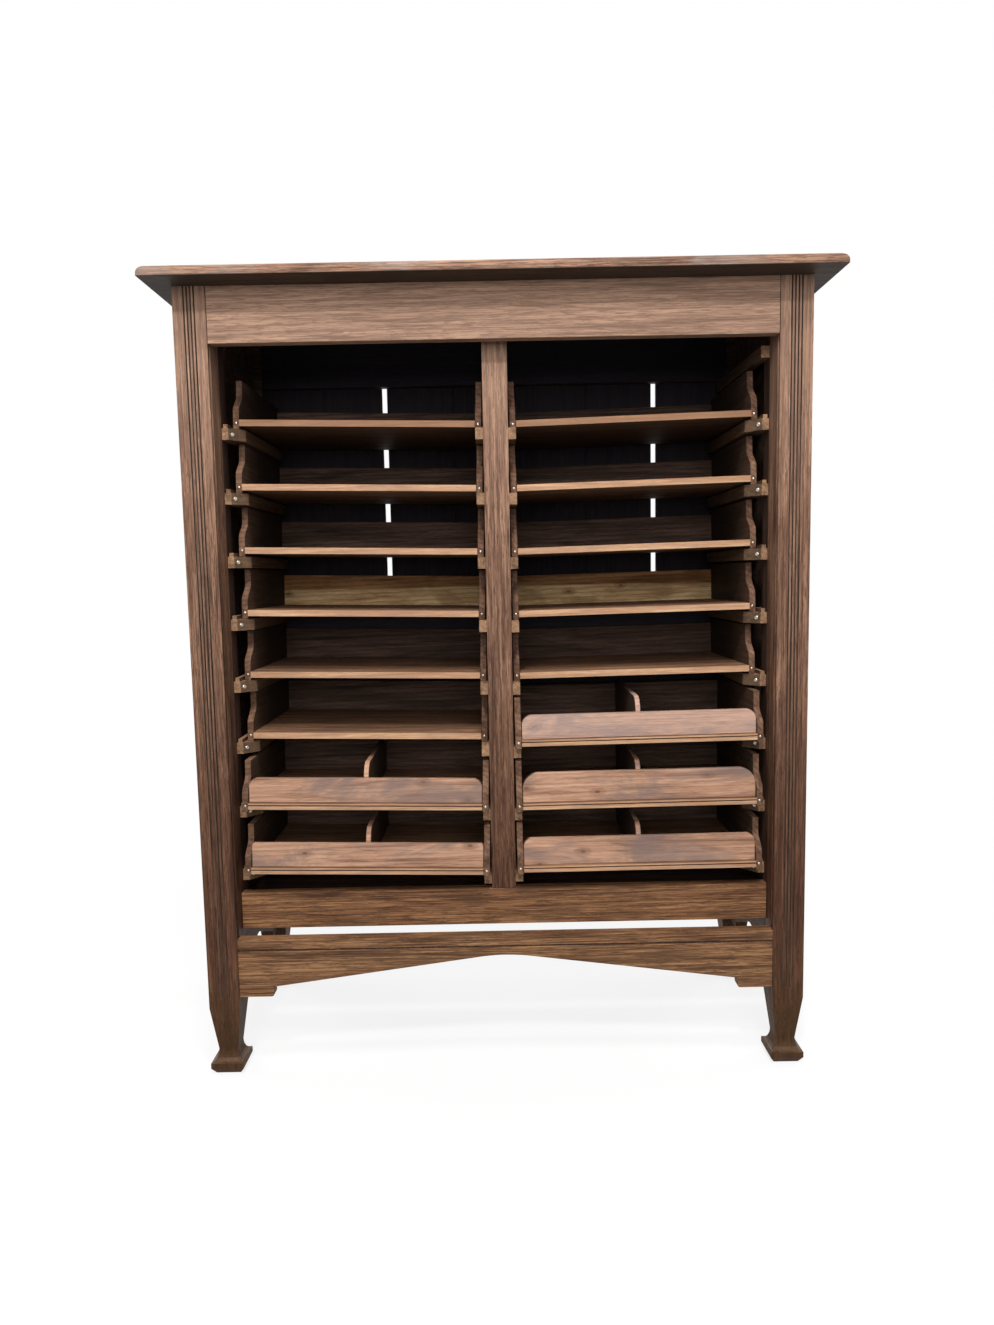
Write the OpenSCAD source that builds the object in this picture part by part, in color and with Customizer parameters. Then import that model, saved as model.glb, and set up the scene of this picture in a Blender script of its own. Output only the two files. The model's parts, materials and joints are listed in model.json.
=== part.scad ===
// Tray cabinet: an oak carcass on four flared feet, with two bays of eight sliding pine trays.
// The object stands on z = 0, its front looks along -Y, and the origin is under its middle.

/* [Carcass] */
// Width over the outer faces of the posts
carcass_w = 1120; // [1000:10:1300]
// Depth over the front and back faces of the posts
carcass_d = 422; // [410:2:480]
// Thickness of the rails, and of the centre stile at the back
rail_t = 22; // [18:1:28]

/* [Top board] */
// Thickness of the top board
top_t = 20; // [16:1:30]
// Overhang beyond the posts at each end
top_side_over = 40; // [10:1:60]
// Overhang beyond the posts at the front
top_front_over = 56; // [20:1:70]
// Overhang beyond the posts at the back
top_back_over = 6; // [0:1:20]
// Radius of the rounded upper edge at the front and the ends
top_round_r = 15; // [4:1:15]

/* [Posts and feet] */
// Side of the square posts
post_w = 58; // [52:1:66]
// Number of reeding grooves down each front post
reed_count = 4; // [2:1:6]
// Distance between neighbouring grooves
reed_pitch = 6; // [5:0.5:8]
// Radius of each groove
reed_r = 1.5; // [1:0.1:2]
// Height where the grooves stop above the floor
reed_end_z = 150; // [145:1:200]
// Height where the leg starts to taper
taper_top_z = 130; // [100:1:135]
// Width of the ankle, the thinnest place of the leg
ankle_w = 36; // [28:1:44]
// Height of the ankle
ankle_z = 46; // [36:1:60]
// Width of the foot pad
pad_w = 62; // [54:1:66]
// Height of the top edge of the foot pad
pad_top_z = 22; // [18:1:26]
// Height of the lower edge of the foot pad, above its slanted sides
pad_low_z = 12; // [6:1:16]
// Width of the sole
sole_w = 46; // [36:1:52]
// Width of the groove that held the edge of the roll shutter
shutter_groove_w = 10; // [6:1:12]
// Depth of the shutter groove
shutter_groove_depth = 10; // [4:1:12]
// Wood left in front of the shutter groove
shutter_groove_inset = 4; // [3:1:6]

/* [Front frame] */
// Height of the top rail
top_rail_h = 98; // [70:1:120]
// Height of the lower rail
lower_rail_h = 70; // [50:1:90]
// Height of the lower edge of the lower rail
lower_rail_z = 269; // [264:1:300]
// How far the lower rail and the centre stile stand behind the posts' front
inner_setback = 40; // [36:1:50]
// Width of the centre stile
stile_w = 46; // [36:1:60]
// Depth of the centre stile
stile_d = 45; // [30:1:60]
// Height of the top edge of the apron
apron_top_z = 262; // [250:1:280]
// How far the apron stands behind the posts' front
apron_setback = 2; // [0:1:6]
// Depth of the bead line under the apron's top edge
apron_line_drop = 21; // [15:1:40]
// Radius of the bead line
apron_line_r = 1.5; // [1:0.1:2.5]
// Height of the underside of the apron's corner blocks
apron_block_z = 151; // [140:1:160]
// Width of the apron's corner blocks
apron_block_w = 65; // [40:1:90]
// Step from the corner block up to the slanted edge
apron_step = 19; // [10:1:30]
// Height where the two slanted edges would meet
apron_apex_z = 227; // [210:1:232]
// Radius that rounds the meeting of the slanted edges
apron_apex_r = 360; // [100:10:500]
// Radius of the corner blocks' lower corners
block_corner_r = 5; // [2:0.5:10]

/* [Sides and back] */
// Height of the underside of the side rail's corner blocks
side_block_z = 134; // [132:1:150]
// Width of the side rail's corner blocks
side_block_w = 44; // [30:1:60]
// Step from the corner block up to the slanted edge
side_step = 14; // [6:1:20]
// Height where the side rail's slanted edges would meet
side_apex_z = 194; // [180:1:230]
// Radius that rounds the meeting of the slanted edges
side_apex_r = 40; // [20:5:80]
// Thickness of the side panels
panel_t = 10; // [6:1:14]
// Depth of the grooves that hold the side panels
panel_groove = 8; // [4:1:10]
// Distance of the back rails' rear face from the posts' rear face
back_inset = 22; // [14:1:30]
// Thickness of the back boards
back_board_t = 12; // [8:1:16]
// Size of the chamfers along the back boards' edges
board_chamfer = 1.5; // [0.5:0.5:3]
// Distance of the middle back rail's top edge below the underside of the top board
back_mid_drop = 544; // [500:4:620]
// Height of the middle back rail
back_mid_h = 100; // [60:5:120]
// Width of the shrinkage gaps between the upper back boards
shrink_gap = 11; // [6:1:16]
// Distance from the middle to the shrinkage gap on the left
left_gap_x = 242; // [200:1:300]
// Distance from the middle to the shrinkage gap on the right
right_gap_x = 351; // [300:1:400]
// Number of upper back boards left of the left gap
left_boards = 2; // [1:1:3]
// Number of upper back boards between the gaps
middle_boards = 4; // [3:1:6]
// Number of upper back boards right of the right gap
right_boards = 1; // [1:1:2]
// Number of lower back boards
lower_boards = 7; // [5:1:9]
// Thickness of the bottom board
bottom_t = 12; // [8:1:18]
// Height of the underside of the bottom board
bottom_z = 286; // [280:1:300]
// Width of the bearers under the bottom board
bearer_w = 15; // [10:1:20]
// Height of the bearers under the bottom board
bearer_h = 18; // [12:1:24]

/* [Joinery] */
// Length of the tenons on the rails
tenon_l = 22; // [12:1:24]
// Thickness of the tenons
tenon_t = 8; // [6:1:10]
// Wood cut back above and below each tenon
tenon_shoulder = 10; // [5:1:14]
// Clearance round a tenon and round a panel in its groove
joint_fit = 0.2; // [0.1:0.1:0.5]

/* [Runners] */
// How far the outer runners' front ends stand behind the posts' front
runner_setback = 60; // [58:1:70]
// How far the inner runners' front ends stand behind the posts' front
inner_runner_setback = 42; // [40:1:60]
// Height of a runner
runner_h = 21; // [16:1:22]
// Width of the outer runners
outer_runner_w = 37; // [34:1:44]
// Width of the inner runners on the centre stile
inner_runner_w = 14; // [10:1:18]
// Flat part of an outer runner's front end, beside its bevel
runner_flat = 12; // [6:1:16]
// Width of the low fence on top of an outer runner
fence_w = 8; // [4:0.5:9]
// Height of the fence
fence_h = 7; // [4:1:10]
// Distance of the fence from the outer face of its runner
fence_inset = 3; // [2:0.5:6]
// Width of the kicker strip above the first tray of the right bay
kicker_w = 16; // [10:1:24]
// Distance of the kicker's top below the underside of the top board
kicker_drop = 104; // [100:1:110]
// Thickness of the carrier battens that the runners are screwed to
batten_t = 18; // [14:1:18]
// Depth of the carrier battens, front to back
batten_d = 34; // [30:1:40]
// Radius of a runner screw's head
screw_head_r = 4; // [3:0.5:5]
// Height of a runner screw's head
screw_head_h = 1.4; // [1:0.1:2]
// Radius of a runner screw's shank
screw_r = 1.9; // [1.5:0.1:2.5]
// Length of a runner screw below its head
screw_l = 32; // [28:1:36]
// Clearance round a screw's shank
screw_fit = 0.15; // [0.05:0.05:0.3]

/* [Trays] */
// How far the plain trays' front ends stand behind the posts' front
tray_setback = 77; // [72:1:90]
// How much further forward the trays with a front board stand
front_pull = 58; // [0:1:60]
// Space left between a plain tray and the back rails
tray_back_gap = 1; // [0.5:0.5:10]
// Gap between a tray and the post beside it
tray_outer_gap = 16; // [13:1:24]
// Gap between a tray and the centre stile
tray_inner_gap = 3; // [3:0.5:8]
// Height of the side boards
side_h = 93; // [80:1:94]
// Thickness of the side boards
side_t = 12; // [8:1:14]
// How far the ogee front of a side board leans back
ogee_back = 24; // [12:1:60]
// Height where the ogee starts to lean back
ogee_low_z = 34; // [26:1:40]
// Height where the ogee becomes upright again
ogee_high_z = 65; // [50:1:76]
// Height of a floor's underside above the lower edges of the side boards
floor_rise = 5; // [2:1:8]
// Thickness of the tray floors
floor_t = 12; // [9:1:14]
// How far a floor's front edge stands in front of the side boards
floor_nose = 4; // [1:0.5:5]
// Thickness of the tray backs
tray_back_t = 12; // [8:1:14]
// Height of the tray backs above the floor
tray_back_h = 65; // [40:1:66]
// Thickness of the front boards
front_t = 10; // [8:1:14]
// How far a front board stands behind the floor's front edge
front_inset = 8; // [6:1:12]
// Height of the groove along a floor's front edge, on the trays with a front board
lip_groove_h = 1.6; // [1:0.1:3]
// Depth of that groove
lip_groove_depth = 1.5; // [0.5:0.1:3]
// Height of that groove's lower edge above the floor's underside
lip_groove_rise = 7; // [3:0.5:8]
// Thickness of the dividers
divider_t = 10; // [6:1:12]
// Height of the dividers above the floor
divider_h = 72; // [60:1:75]
// Radius of a divider's upper front corner
divider_r = 26; // [6:1:40]
// Clearance between the boards of one tray
board_fit = 0.2; // [0.1:0.1:0.4]
// Clearance between a tray and its runners
seat_fit = 0.2; // [0.1:0.1:0.3]

/* [Tray heights] */
// Distance of the first trays' runners below the underside of the top board
first_seat_drop = 233; // [230:1:250]
// Height of the last runners of the left bay above the lower rail
last_seat_rise = 40; // [32:1:60]
// Distance between plain trays, left bay
left_plain_pitch = 117; // [116:0.5:119]
// Distance between plain trays, right bay
right_plain_pitch = 118.5; // [116:0.5:119]
// Distance above each tray with a front board, left bay
left_front_pitch = 123.5; // [118:0.5:134]
// Distance above each tray with a front board, right bay
right_front_pitch = 121; // [118:0.5:124]
// How much lower the trays sit at the centre stile, left bay
left_drop = 10; // [0:0.5:12]
// How much lower the top tray sits at the centre stile, right bay
right_drop_top = 11; // [0:0.5:12]
// How much lower the bottom tray sits at the centre stile, right bay
right_drop_bottom = 2; // [0:0.5:12]

/* [Front boards] */
// Heights of the front boards in the left bay, from the top down
left_front_heights = [46, 45];
// Corner radii of the front boards in the left bay
left_front_radii = [16, 4];
// Heights of the front boards in the right bay, from the top down
right_front_heights = [45, 56, 51];
// Corner radii of the front boards in the right bay
right_front_radii = [18, 30, 15];

/* [Hidden] */
$fn = 48;
rows = 8;
bays = ["left", "right"];
oak = "#7d5236";
oak_dark = "#5f3d28";
pine = "#a27a55";
pine_dark = "#8a6648";
steel = "#b9b2a4";

front_heights = [left_front_heights, right_front_heights];
front_radii = [left_front_radii, right_front_radii];
plain_pitch = [left_plain_pitch, right_plain_pitch];
front_pitch = [left_front_pitch, right_front_pitch];
top_drop = [left_drop, right_drop_top];
bottom_drop = [left_drop, right_drop_bottom];

lower_rail_top = lower_rail_z + lower_rail_h;
carcass_h = lower_rail_top + last_seat_rise + stack_below(0, 0) + first_seat_drop;
front_y = (top_front_over - carcass_d - top_back_over) / 2;
post_half = post_w / 2;
inner_x = carcass_w / 2 - post_w;
post_x = carcass_w / 2 - post_half;
side_span = carcass_d - 2 * post_w;
top_rail_z = carcass_h - top_rail_h;
back_mid_z = carcass_h - back_mid_drop;
rail_inner_x = post_x - rail_t / 2;
back_rail_d = carcass_d - back_inset - rail_t;
back_board_d = carcass_d - back_inset;
stile_half = stile_w / 2;
bottom_top = bottom_z + bottom_t;
tray_outer_x = inner_x - tray_outer_gap;
tray_w = tray_outer_x - stile_half - tray_inner_gap;
outer_bearing = outer_runner_w - tray_outer_gap;
tray_d = back_rail_d - tray_back_gap - tray_setback;
inner_floor_w = tray_w - 2 * side_t;
floor_top = floor_rise + floor_t;
outer_runner_l = back_rail_d - runner_setback;
inner_runner_l = back_rail_d - rail_t - inner_runner_setback;
screw_offset = 6;
slack = 1;

// Depth behind the posts' front faces as a y coordinate
function at_depth(d) = front_y + d;

// Number of trays without a front board in a bay
function plain_count(bay) = rows - len(front_heights[bay]);

// Whether tray k has a front board
function has_front(bay, k) = k >= plain_count(bay);

// Distance from the seat of tray k, counted down from 0, to the seat of the last tray
function stack_below(bay, k) =
    let (last_plain = plain_count(bay) - 1)
    max(0, last_plain - k) * plain_pitch[bay]
    + (rows - 1 - max(k, last_plain)) * front_pitch[bay];

// Height of the outer runners' top under tray k
function outer_seat(bay, k) = carcass_h - first_seat_drop - stack_below(bay, 0) + stack_below(bay, k);

// How far the front end of tray k stands behind the posts' front
function setback(bay, k) = tray_setback - (has_front(bay, k) ? front_pull : 0);

// How much lower tray k sits at the centre stile
function seat_drop(bay, k) =
    top_drop[bay] + (bottom_drop[bay] - top_drop[bay]) * k / (rows - 1);

// Lean of tray k, from the edge of its outer runner to its inner end
function lean(bay, k) = asin(seat_drop(bay, k) / (tray_w - outer_bearing));

// Height of the inner runners' top, which meets the tray's lower inner edge
function inner_seat(bay, k) = outer_seat(bay, k) - seat_drop(bay, k);

// Points along an arc, for outlines
function arc(x, y, r, from, to, steps) =
    [for (i = [0:steps]) let (a = from + (to - from) * i / steps) [x + r * cos(a), y + r * sin(a)]];

function mirrored(points) = [for (i = [len(points) - 1:-1:0]) [-points[i][0], points[i][1]]];

// Names of the trays, such as tray_left_1, with the top tray first
function tray_name(bay, k) = str("tray_", bays[bay], "_", k + 1);

CARCASS_NODES = [
    "top_board",
    "front_left_post",
    "front_right_post",
    "rear_left_post",
    "rear_right_post",
    "top_rail",
    "lower_rail",
    "front_apron",
    "centre_stile",
    "rear_centre_stile",
    "left_side_rails",
    "right_side_rails",
    "left_side_panel",
    "right_side_panel",
    "back_rails",
    "upper_back_boards",
    "lower_back_boards",
    "bottom_board",
    "bottom_bearers",
    "carrier_battens",
    "left_bay_runners",
    "right_bay_runners",
    "runner_screws"
];

// An outline extruded along Y, drawn in x and z, with its front at y = 0
module extrude_depth(depth) {
    translate([0, depth, 0])
        rotate([90, 0, 0])
            linear_extrude(height = depth)
                children();
}

// An outline extruded along X, drawn in y and z, from x = 0
module extrude_across(width) {
    rotate([90, 0, 90])
        linear_extrude(height = width)
            children();
}

// A box that is centred in x, with its front and underside at the given places
module centred_box(w, d, h) {
    translate([-w / 2, 0, 0])
        cube([w, d, h]);
}

module mirror_if(flip) {
    mirror([flip ? 1 : 0, 0, 0])
        children();
}

// Outline of a post with its tapered leg, coved ankle and foot pad
module post_outline() {
    cove_steps = 6;
    half = concat(
        [[sole_w / 2, 0], [pad_w / 2, pad_low_z]],
        [for (i = [0:cove_steps]) let (a = 90 - 90 * i / cove_steps)
            [pad_w / 2 - (pad_w - ankle_w) / 2 * cos(a), ankle_z - (ankle_z - pad_top_z) * sin(a)]],
        [[post_half, taper_top_z], [post_half, carcass_h]]
    );
    polygon(concat(half, mirrored(half)));
}

// A square post: the same outline seen from the front and from the side
module plain_post() {
    intersection() {
        translate([0, -post_w, 0])
            extrude_depth(2 * post_w)
                post_outline();
        translate([-post_w, 0, 0])
            extrude_across(2 * post_w)
                post_outline();
    }
}

// A mortise in a post's inner face for a rail whose middle lies d behind the post's outer face
module across_mortise(d, z, h) {
    wide = tenon_t + 2 * joint_fit;
    translate([post_half - tenon_l - joint_fit, d - post_half - wide / 2, z + tenon_shoulder - joint_fit])
        cube([tenon_l + joint_fit + slack, wide, h - 2 * tenon_shoulder + 2 * joint_fit]);
}

// A mortise for a side rail, on the post's middle line
module side_mortise(z, h) {
    wide = tenon_t + 2 * joint_fit;
    translate([-wide / 2, post_half - tenon_l - joint_fit, z + tenon_shoulder - joint_fit])
        cube([wide, tenon_l + joint_fit + slack, h - 2 * tenon_shoulder + 2 * joint_fit]);
}

// The cuts that every post has for the side frame
module side_frame_cuts() {
    wide = panel_t + 2 * joint_fit;
    side_mortise(top_rail_z, top_rail_h);
    side_mortise(side_block_z + side_step, lower_rail_top - side_block_z - side_step);
    translate([-wide / 2, post_half - panel_groove, lower_rail_top - panel_groove])
        cube([wide, panel_groove + slack, top_rail_z - lower_rail_top + 2 * panel_groove]);
}

module reeding() {
    first = -(reed_count - 1) / 2 * reed_pitch;
    for (i = [0:reed_count - 1])
        translate([first + i * reed_pitch, -post_half, reed_end_z])
            cylinder(h = carcass_h, r = reed_r);
}

module shutter_groove() {
    translate([post_half - shutter_groove_depth, shutter_groove_inset - post_half, apron_top_z])
        cube([shutter_groove_depth + slack, shutter_groove_w, top_rail_z - apron_top_z]);
}

module front_post() {
    difference() {
        plain_post();
        reeding();
        shutter_groove();
        side_frame_cuts();
        across_mortise(rail_t / 2, top_rail_z, top_rail_h);
        across_mortise(inner_setback + rail_t / 2, lower_rail_z, lower_rail_h);
        across_mortise(apron_setback + rail_t / 2, apron_block_z + apron_step,
            apron_top_z - apron_block_z - apron_step);
    }
}

module rear_post() {
    middle = back_inset + rail_t / 2;
    difference() {
        plain_post();
        side_frame_cuts();
        across_mortise(middle, top_rail_z, top_rail_h);
        across_mortise(middle, back_mid_z - back_mid_h, back_mid_h);
        across_mortise(middle, bottom_z, lower_rail_top - bottom_z);
    }
}

module place_front_post(flip) {
    mirror_if(flip)
        translate([-post_x, at_depth(post_half), 0])
            front_post();
}

module place_rear_post(flip) {
    mirror_if(flip)
        translate([-post_x, at_depth(carcass_d - post_half), 0])
            mirror([0, 1, 0])
                rear_post();
}

module front_left_post() {
    color(oak) place_front_post(false);
}

module front_right_post() {
    color(oak) place_front_post(true);
}

module rear_left_post() {
    color(oak_dark) place_rear_post(false);
}

module rear_right_post() {
    color(oak_dark) place_rear_post(true);
}

// Outline of a board with rounded upper corners, the first at x = 0
module round_top_outline(w, h, left_r, right_r) {
    intersection() {
        square([w, h]);
        union() {
            square([w, h - max(left_r, right_r)]);
            translate([left_r, 0])
                square([w - left_r - right_r, h]);
            if (left_r > 0)
                translate([left_r, h - left_r])
                    circle(r = left_r);
            if (right_r > 0)
                translate([w - right_r, h - right_r])
                    circle(r = right_r);
        }
    }
}

module top_board() {
    w = carcass_w + 2 * top_side_over;
    d = top_front_over + carcass_d + top_back_over;
    color(oak)
        translate([-w / 2, at_depth(-top_front_over), carcass_h])
            intersection() {
                extrude_depth(d)
                    round_top_outline(w, top_t, top_round_r, top_round_r);
                extrude_across(w)
                    round_top_outline(d, top_t, top_round_r, 0);
            }
}

// Tenons on both ends of a board that spans between the posts, z counted from the board's underside
module across_tenons(h) {
    translate([0, (rail_t - tenon_t) / 2, tenon_shoulder])
        centred_box(2 * (inner_x + tenon_l), tenon_t, h - 2 * tenon_shoulder);
}

module across_rail(h) {
    union() {
        centred_box(2 * inner_x, rail_t, h);
        across_tenons(h);
    }
}

module top_rail() {
    color(oak)
        translate([0, at_depth(0), top_rail_z])
            across_rail(top_rail_h);
}

module lower_rail() {
    color(oak)
        translate([0, at_depth(inner_setback), lower_rail_z])
            across_rail(lower_rail_h);
}

// Outline of a rail with corner blocks and two slanted edges that meet in a rounded peak
module arched_outline(half_l, top_z, block_z, block_w, step, apex_z, apex_r) {
    arc_steps = 6;
    shoulder_x = half_l - block_w;
    slant = atan((apex_z - block_z - step) / shoulder_x);
    half = concat(
        [[half_l, top_z], [half_l, block_z]],
        arc(shoulder_x + block_corner_r, block_z + block_corner_r, block_corner_r, 270, 180, arc_steps),
        [[shoulder_x, block_z + step]],
        arc(0, apex_z - apex_r / cos(slant), apex_r, 90 - slant, 90, arc_steps)
    );
    polygon(concat(half, mirrored(half)));
}

module front_apron() {
    shoulder_z = apron_block_z + apron_step;
    color(oak)
        translate([0, at_depth(apron_setback), 0])
            difference() {
                union() {
                    extrude_depth(rail_t)
                        arched_outline(inner_x, apron_top_z, apron_block_z, apron_block_w, apron_step,
                            apron_apex_z, apron_apex_r);
                    translate([0, 0, shoulder_z])
                        intersection() {
                            across_tenons(apron_top_z - shoulder_z);
                            difference() {
                                centred_box(2 * (inner_x + tenon_l), rail_t, apron_top_z);
                                centred_box(2 * inner_x - 2 * slack, rail_t, apron_top_z);
                            }
                        }
                }
                translate([-inner_x, 0, apron_top_z - apron_line_drop])
                    rotate([0, 90, 0])
                        cylinder(h = 2 * inner_x, r = apron_line_r);
            }
}

module centre_stile() {
    color(oak)
        translate([0, at_depth(inner_setback), lower_rail_top])
            centred_box(stile_w, stile_d, carcass_h - lower_rail_top);
}

module rear_centre_stile() {
    color(oak_dark)
        translate([0, at_depth(back_rail_d - rail_t), bottom_top])
            centred_box(stile_w, rail_t, carcass_h - bottom_top);
}

// One side's rails, drawn in depth and height from the rear face of the front post
module side_rail_pair() {
    groove_w = panel_t + 2 * joint_fit;
    low_tenon_z = side_block_z + side_step + tenon_shoulder;
    difference() {
        union() {
            translate([-rail_t / 2, 0, top_rail_z])
                cube([rail_t, side_span, top_rail_h]);
            translate([-tenon_t / 2, -tenon_l, top_rail_z + tenon_shoulder])
                cube([tenon_t, side_span + 2 * tenon_l, top_rail_h - 2 * tenon_shoulder]);
            translate([-rail_t / 2, side_span / 2, 0])
                extrude_across(rail_t)
                    arched_outline(side_span / 2, lower_rail_top, side_block_z, side_block_w, side_step,
                        side_apex_z, side_apex_r);
            for (end_y = [-tenon_l, side_span - slack])
                translate([-tenon_t / 2, end_y, low_tenon_z])
                    cube([tenon_t, tenon_l + slack, lower_rail_top - tenon_shoulder - low_tenon_z]);
        }
        translate([-groove_w / 2, -slack, top_rail_z - slack])
            cube([groove_w, side_span + 2 * slack, panel_groove + slack]);
        translate([-groove_w / 2, -slack, lower_rail_top - panel_groove])
            cube([groove_w, side_span + 2 * slack, panel_groove + slack]);
    }
}

module place_side(flip) {
    mirror_if(flip)
        translate([-post_x, at_depth(post_w), 0])
            children();
}

module left_side_rails() {
    color(oak_dark) place_side(false) side_rail_pair();
}

module right_side_rails() {
    color(oak_dark) place_side(true) side_rail_pair();
}

// A side panel, held in the grooves of its posts and rails
module side_panel() {
    reach = panel_groove - joint_fit;
    translate([-panel_t / 2, -reach, lower_rail_top - reach])
        cube([panel_t, side_span + 2 * reach, top_rail_z - lower_rail_top + 2 * reach]);
}

module left_side_panel() {
    color(oak_dark) place_side(false) side_panel();
}

module right_side_panel() {
    color(oak_dark) place_side(true) side_panel();
}

module back_rails() {
    color(oak_dark)
        translate([0, at_depth(back_rail_d), 0]) {
            translate([0, 0, top_rail_z])
                across_rail(top_rail_h);
            translate([0, 0, back_mid_z - back_mid_h])
                across_rail(back_mid_h);
            translate([0, 0, bottom_z])
                across_rail(lower_rail_top - bottom_z);
        }
}

// Outline of a board with chamfered edges, seen from its end
module board_outline(w) {
    c = board_chamfer;
    t = back_board_t;
    polygon([[0, c], [c, 0], [w - c, 0], [w, c], [w, t - c], [w - c, t], [c, t], [0, t - c]]);
}

// Boards of equal width side by side from one x to another
module board_row(from_x, to_x, count, z, h) {
    w = (to_x - from_x) / count;
    for (i = [0:count - 1])
        translate([from_x + i * w, at_depth(back_board_d), z])
            linear_extrude(height = h)
                board_outline(w);
}

module upper_back_boards() {
    z = back_mid_z - back_mid_h / 2;
    h = carcass_h - z;
    half_gap = shrink_gap / 2;
    color(pine_dark) {
        board_row(-inner_x, -left_gap_x - half_gap, left_boards, z, h);
        board_row(-left_gap_x + half_gap, right_gap_x - half_gap, middle_boards, z, h);
        board_row(right_gap_x + half_gap, inner_x, right_boards, z, h);
    }
}

module lower_back_boards() {
    color(pine_dark)
        board_row(-inner_x, inner_x, lower_boards, bottom_z, back_mid_z - back_mid_h / 2 - bottom_z);
}

module bottom_board() {
    front_d = inner_setback + rail_t;
    color(pine_dark)
        translate([0, at_depth(front_d), bottom_z])
            union() {
                centred_box(2 * rail_inner_x, carcass_d - post_w - front_d, bottom_t);
                centred_box(2 * inner_x, back_rail_d - front_d, bottom_t);
            }
}

module bottom_bearers() {
    front_d = inner_setback + rail_t;
    color(pine_dark)
        for (flip = [false, true])
            mirror_if(flip)
                translate([-rail_inner_x, at_depth(front_d), bottom_z - bearer_h])
                    cube([bearer_w, carcass_d - post_w - front_d, bearer_h]);
}

// Places a child against a post's inner face at a depth, with x towards the bay's middle
module at_runner(bay, depth, z) {
    mirror_if(bay == 1)
        translate([-inner_x, at_depth(depth), z])
            children();
}

module outer_runner_outline() {
    polygon([
        [0, 0],
        [runner_flat, 0],
        [outer_runner_w, outer_runner_w - runner_flat],
        [outer_runner_w, outer_runner_l],
        [0, outer_runner_l]
    ]);
}

// A runner screw on the bevelled end, with its head's underside at the origin
module screw() {
    crown_r = 0.7 * screw_head_r;
    slot_w = 1;
    slot_depth = 0.7;
    difference() {
        union() {
            cylinder(h = screw_head_h, r1 = screw_head_r, r2 = crown_r);
            translate([0, 0, -screw_l])
                cylinder(h = screw_l + slack, r = screw_r);
        }
        translate([-screw_head_r, -slot_w / 2, screw_head_h - slot_depth])
            cube([2 * screw_head_r, slot_w, slot_depth + slack]);
    }
}

// Puts a child on the bevelled end with its z axis square to the bevel
module on_bevel() {
    translate([runner_flat + screw_offset, screw_offset, -runner_h / 2])
        rotate([0, 0, -45])
            rotate([0, 90, 0])
                children();
}

module screw_hole() {
    on_bevel()
        translate([0, 0, -screw_l - slack])
            cylinder(h = screw_l + 2 * slack, r = screw_r + screw_fit);
}

// An outer runner with its top at z = 0 and a low fence on it
module outer_runner() {
    difference() {
        union() {
            translate([0, 0, -runner_h])
                linear_extrude(height = runner_h)
                    outer_runner_outline();
            translate([fence_inset, 0, -slack])
                cube([fence_w, outer_runner_l, fence_h + slack]);
        }
        screw_hole();
    }
}

module bay_runners(bay) {
    inner_offset = inner_x - stile_half - inner_runner_w;
    color(pine) {
        for (k = [0:rows - 1]) {
            at_runner(bay, runner_setback, outer_seat(bay, k))
                outer_runner();
            at_runner(bay, inner_runner_setback, inner_seat(bay, k))
                translate([inner_offset, 0, -runner_h])
                    cube([inner_runner_w, inner_runner_l, runner_h]);
        }
    }
}

// The strip that keeps the first tray of a bay from tipping
module kicker(bay) {
    color(pine)
        at_runner(bay, runner_setback, carcass_h - kicker_drop)
            translate([0, 0, -runner_h])
                cube([kicker_w, outer_runner_l, runner_h]);
}

module left_bay_runners() {
    bay_runners(0);
}

module right_bay_runners() {
    bay_runners(1);
    kicker(1);
}

module runner_screws() {
    color(steel)
        for (bay = [0:1])
            for (k = [0:rows - 1])
                at_runner(bay, runner_setback, outer_seat(bay, k))
                    on_bevel()
                        screw();
}

module carrier_battens() {
    color(pine_dark)
        for (bay = [0:1])
            difference() {
                mirror_if(bay == 1)
                    translate([-inner_x - batten_t, at_depth(post_w), bottom_top])
                        cube([batten_t, batten_d, carcass_h - bottom_top]);
                for (k = [0:rows - 1])
                    at_runner(bay, runner_setback, outer_seat(bay, k))
                        screw_hole();
            }
}

// Places a tray, drawn with its outer front lower corner at the origin and x towards the stile
module at_tray(bay, k) {
    a = lean(bay, k);
    mirror_if(bay == 1)
        translate([outer_bearing - tray_outer_x, at_depth(setback(bay, k)), outer_seat(bay, k) + seat_fit])
            rotate([0, a, 0])
                translate([-outer_bearing, 0, 0])
                    children();
}

module tray_floor(bay, k) {
    w = inner_floor_w - 2 * board_fit;
    color(pine)
        at_tray(bay, k)
            translate([side_t + board_fit, -floor_nose, floor_rise])
                difference() {
                    cube([w, tray_d + floor_nose, floor_t]);
                    if (has_front(bay, k))
                        translate([-slack, -slack, lip_groove_rise])
                            cube([w + 2 * slack, lip_groove_depth + slack, lip_groove_h]);
                }
}

// Outline of a side board in depth and height, with its ogee front
module side_outline() {
    steps = 8;
    lean_h = ogee_high_z - ogee_low_z;
    polygon(concat(
        [[tray_d, 0], [0, 0]],
        [for (i = [0:steps])
            [ogee_back * (1 - cos(180 * i / steps)) / 2, ogee_low_z + lean_h * i / steps]],
        [[ogee_back, side_h], [tray_d, side_h]]
    ));
}

module tray_walls(bay, k) {
    color(pine_dark)
        at_tray(bay, k) {
            extrude_across(side_t)
                side_outline();
            translate([tray_w - side_t, 0, 0])
                extrude_across(side_t)
                    side_outline();
            translate([side_t + board_fit, tray_d - tray_back_t, floor_top + board_fit])
                cube([inner_floor_w - 2 * board_fit, tray_back_t, tray_back_h]);
        }
}

// Outline of a divider in depth and height, with its rounded upper front corner
module divider_outline(length) {
    union() {
        square([length, divider_h - divider_r]);
        translate([divider_r, 0])
            square([length - divider_r, divider_h]);
        translate([divider_r, divider_h - divider_r])
            circle(r = divider_r);
    }
}

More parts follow.
